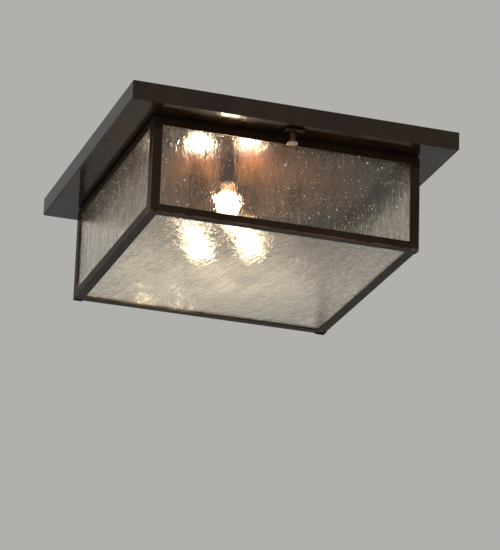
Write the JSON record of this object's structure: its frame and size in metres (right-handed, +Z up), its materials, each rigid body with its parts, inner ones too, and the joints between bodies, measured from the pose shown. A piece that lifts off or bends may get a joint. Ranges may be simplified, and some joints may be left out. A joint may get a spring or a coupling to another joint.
{
  "type": "flush_mount_ceiling_light",
  "caption": "Square flush mount ceiling light: a bronze canopy over a hinged, framed box of clear seedy glass with candelabra lamps, closed by a front thumbscrew.",
  "frame": {"origin": "Middle of the mounting strap's upper face, in the ceiling plane that the canopy's rim rests against.", "axes": "+Z points up into the ceiling; the front with the thumbscrew faces -Y, the hinges are at +Y, and +X is to the right seen from the front."},
  "size_m": [0.432, 0.432, 0.153],
  "materials": {
    "bronze_canopy": "glossy dark bronze",
    "bronze_frame": "semi-gloss dark bronze",
    "bronze_trim": "glossy dark bronze",
    "seedy_glass": "clear glass with seeds",
    "lamp_glass": "frosted",
    "lamp_base_metal": "bright",
    "contact_brass": "bright",
    "lampholder_phenolic": "matte",
    "zinc_steel": "zinc plated",
    "ground_green": "green passivated",
    "seal_foam": "matte foam"
  },
  "bodies": {
    "canopy": {"canopy_pan": "bronze_canopy", "seal_strips": "seal_foam", "mounting_strap": "zinc_steel", "mounting_studs": "zinc_steel", "stud_locknuts": "zinc_steel", "cap_nuts": "bronze_trim", "ground_screw": "ground_green", "lamp_nipples": "zinc_steel", "nipple_nuts": "zinc_steel", "clinch_nut": "zinc_steel", "hinge_rivets": "bronze_trim", "lamp_cup_1": "bronze_trim", "lamp_cup_2": "bronze_trim", "lamp_cup_3": "bronze_trim", "lampholder_1": "lampholder_phenolic", "lampholder_2": "lampholder_phenolic", "lampholder_3": "lampholder_phenolic", "screw_shell_1": "contact_brass", "screw_shell_2": "contact_brass", "screw_shell_3": "contact_brass", "centre_contact_1": "contact_brass", "centre_contact_2": "contact_brass", "centre_contact_3": "contact_brass", "lamp_base_1": "lamp_base_metal", "lamp_base_2": "lamp_base_metal", "lamp_base_3": "lamp_base_metal", "lamp_tip_1": "lamp_base_metal", "lamp_tip_2": "lamp_base_metal", "lamp_tip_3": "lamp_base_metal", "lamp_bulb_1": "lamp_glass", "lamp_bulb_2": "lamp_glass", "lamp_bulb_3": "lamp_glass", "hinge_canopy_leaf_left": "bronze_trim", "hinge_pin_left": "bronze_trim", "hinge_canopy_leaf_right": "bronze_trim", "hinge_pin_right": "bronze_trim"},
    "glass_box": {"front_tab": "bronze_trim", "pane_clips": "zinc_steel", "bottom_pane": "seedy_glass", "post_front_left": "bronze_frame", "post_front_right": "bronze_frame", "post_back_right": "bronze_frame", "post_back_left": "bronze_frame", "top_rail_front": "bronze_frame", "bottom_rail_front": "bronze_frame", "front_pane": "seedy_glass", "top_rail_right": "bronze_frame", "bottom_rail_right": "bronze_frame", "right_pane": "seedy_glass", "top_rail_back": "bronze_frame", "bottom_rail_back": "bronze_frame", "back_pane": "seedy_glass", "top_rail_left": "bronze_frame", "bottom_rail_left": "bronze_frame", "left_pane": "seedy_glass", "hinge_box_leaf_left": "bronze_trim", "hinge_box_leaf_right": "bronze_trim"},
    "screw_collar": {"screw_washer": "bronze_trim"},
    "thumbscrew": {"thumbscrew": "bronze_trim"}
  },
  "joints": [
    {"name": "box_swing", "type": "hinge", "parent": "canopy", "child": "glass_box", "pos_m": [0, 0.1808, -0.0273], "axis": [1, 0, 0], "range_deg": [0, 90]},
    {"name": "screw_travel", "type": "slide", "parent": "glass_box", "child": "screw_collar", "axis": [0, 0, -1], "range_m": [0, 0.00794]},
    {"name": "screw_turn", "type": "hinge", "parent": "screw_collar", "child": "thumbscrew", "pos_m": [0, -0.1925, -0.03], "axis": [0, 0, -1], "range_deg": [0, 2700]}
  ],
  "couplings": [
    {"joint": "screw_turn", "follows": "screw_travel", "rad_per_m": 5936.9}
  ]
}
